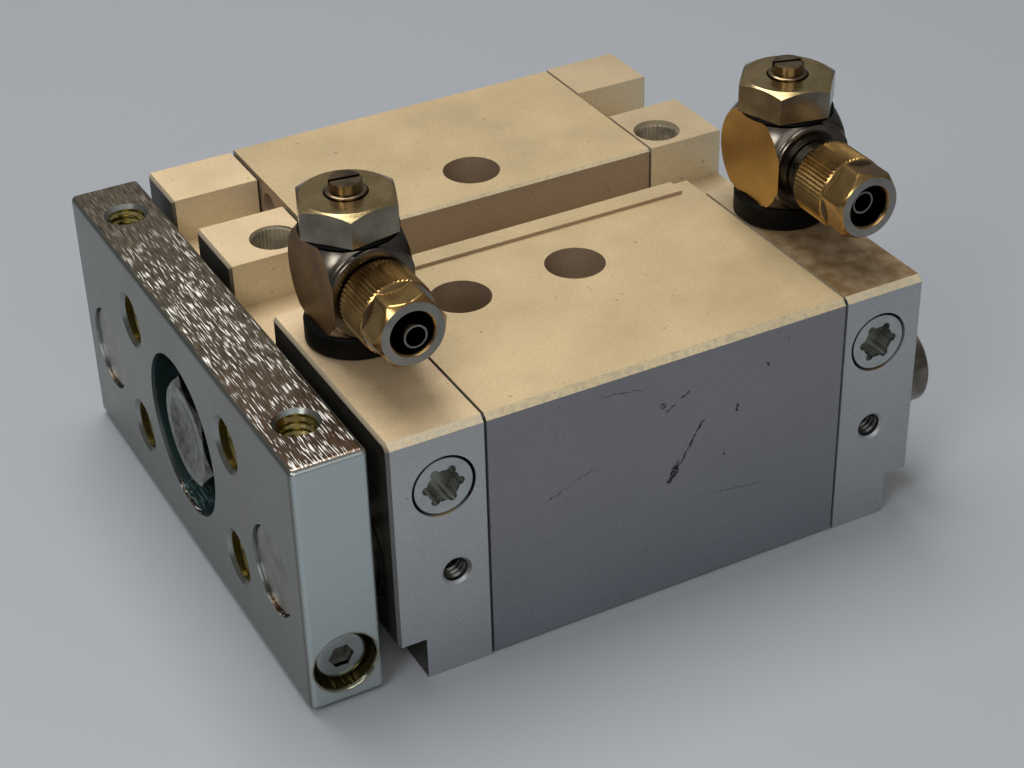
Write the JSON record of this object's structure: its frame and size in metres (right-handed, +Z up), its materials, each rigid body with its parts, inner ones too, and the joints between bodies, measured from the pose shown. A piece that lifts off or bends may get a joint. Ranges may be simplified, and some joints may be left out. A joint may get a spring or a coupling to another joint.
{
  "type": "guided pneumatic cylinder",
  "caption": "Compact guided air cylinder: a block housing with a piston and two guide rods that push an end plate, with two swivelling elbow flow control fittings on top.",
  "frame": {"origin": "centre of the housing's flat bottom face", "axes": "+X is the way the yoke plate moves out, +Y is the side with the port plugs and tube outlets, +Z is up, away from the bottom face"},
  "size_m": [0.0957, 0.0794, 0.0588],
  "materials": {
    "anodised_barrel": "fine blasted and hard anodised, warm grey beige",
    "anodised_cap": "fine satin anodised, warm beige with pale machined bevels",
    "gasket_rubber": "black, matt",
    "bronze_bush": "bored bronze, satin",
    "seal_rubber": "black, smooth",
    "black_steel": "black oxide, slightly oily",
    "plug_steel": "zinc plated, satin",
    "piston_aluminium": "turned, satin",
    "magnet": "bonded magnet, matt",
    "plated_plate": "zinc plated over brushed steel, yellow tint in the bores",
    "guide_rod_steel": "hard chromed and ground, dull turned ends",
    "bolt_steel": "zinc plated, satin",
    "dark_nickel": "dark nickel plate over turned brass",
    "plated_brass": "nickel plated brass, worn to brass at the edges",
    "knurled_brass": "thin nickel over knurled brass",
    "needle_steel": "turned and slotted, satin",
    "shim_plastic": "black, matt"
  },
  "bodies": {
    "housing": {"barrel": "anodised_barrel", "front_cap": "anodised_cap", "rear_cap": "anodised_cap", "front_gasket": "gasket_rubber", "rear_gasket": "gasket_rubber", "guide_bushes": "bronze_bush", "front_wipers": "seal_rubber", "rear_wipers": "seal_rubber", "front_cap_screws": "black_steel", "rear_cap_screws": "black_steel", "side_plugs": "plug_steel", "rod_bush": "bronze_bush", "rod_seal": "seal_rubber", "front_cushion": "seal_rubber", "rear_cushion": "seal_rubber", "front_seal_ring": "gasket_rubber", "front_banjo_bolt": "plated_brass", "front_shim_ring": "shim_plastic", "rear_seal_ring": "gasket_rubber", "rear_banjo_bolt": "plated_brass", "rear_shim_ring": "shim_plastic"},
    "yoke": {"yoke_plate": "plated_plate", "near_guide_rod": "guide_rod_steel", "far_guide_rod": "guide_rod_steel", "piston_rod": "guide_rod_steel", "piston": "piston_aluminium", "piston_seals": "seal_rubber", "piston_magnet": "magnet", "rod_bolt": "bolt_steel", "rod_washer": "bolt_steel", "outer_clamps": "bolt_steel", "inner_clamps": "bolt_steel", "clamp_screws": "black_steel"},
    "front_swivel": {"front_banjo": "dark_nickel", "front_nipple": "dark_nickel"},
    "front_nut": {"front_union_nut": "knurled_brass"},
    "front_needle_rise": {"front_needle_oring": "seal_rubber"},
    "front_needle_screw": {"front_needle": "needle_steel"},
    "rear_swivel": {"rear_banjo": "dark_nickel", "rear_nipple": "dark_nickel"},
    "rear_nut": {"rear_union_nut": "knurled_brass"},
    "rear_needle_rise": {"rear_needle_oring": "seal_rubber"},
    "rear_needle_screw": {"rear_needle": "needle_steel"}
  },
  "joints": [
    {"name": "yoke_slide", "type": "slide", "parent": "housing", "child": "yoke", "axis": [1, 0, 0], "range_m": [0, 0.025]},
    {"name": "front_fitting_swivel", "type": "hinge", "parent": "housing", "child": "front_swivel", "pos_m": [0.03125, 0.01535, 0.04595], "axis": [0, 0, 1], "continuous": true},
    {"name": "front_nut_turn", "type": "hinge", "parent": "front_swivel", "child": "front_nut", "pos_m": [0.03125, 0.02735, 0.04595], "axis": [0, 1, 0], "range_deg": [0, 1080]},
    {"name": "front_needle_lift", "type": "slide", "parent": "housing", "child": "front_needle_rise", "axis": [0, 0, 1], "range_m": [0, 0.0015]},
    {"name": "front_needle_turn", "type": "hinge", "parent": "front_needle_rise", "child": "front_needle_screw", "pos_m": [0.03125, 0.01535, 0.0516], "axis": [0, 0, 1], "range_deg": [0, 1080.5]},
    {"name": "rear_fitting_swivel", "type": "hinge", "parent": "housing", "child": "rear_swivel", "pos_m": [-0.0329, 0.01535, 0.04595], "axis": [0, 0, 1], "continuous": true},
    {"name": "rear_nut_turn", "type": "hinge", "parent": "rear_swivel", "child": "rear_nut", "pos_m": [-0.0329, 0.02735, 0.04595], "axis": [0, 1, 0], "range_deg": [0, 1080]},
    {"name": "rear_needle_lift", "type": "slide", "parent": "housing", "child": "rear_needle_rise", "axis": [0, 0, 1], "range_m": [0, 0.0015]},
    {"name": "rear_needle_turn", "type": "hinge", "parent": "rear_needle_rise", "child": "rear_needle_screw", "pos_m": [-0.0329, 0.01535, 0.0516], "axis": [0, 0, 1], "range_deg": [0, 1080.5]}
  ],
  "couplings": [
    {"joint": "front_needle_turn", "follows": "front_needle_lift", "rad_per_m": 12566},
    {"joint": "rear_needle_turn", "follows": "rear_needle_lift", "rad_per_m": 12566}
  ]
}
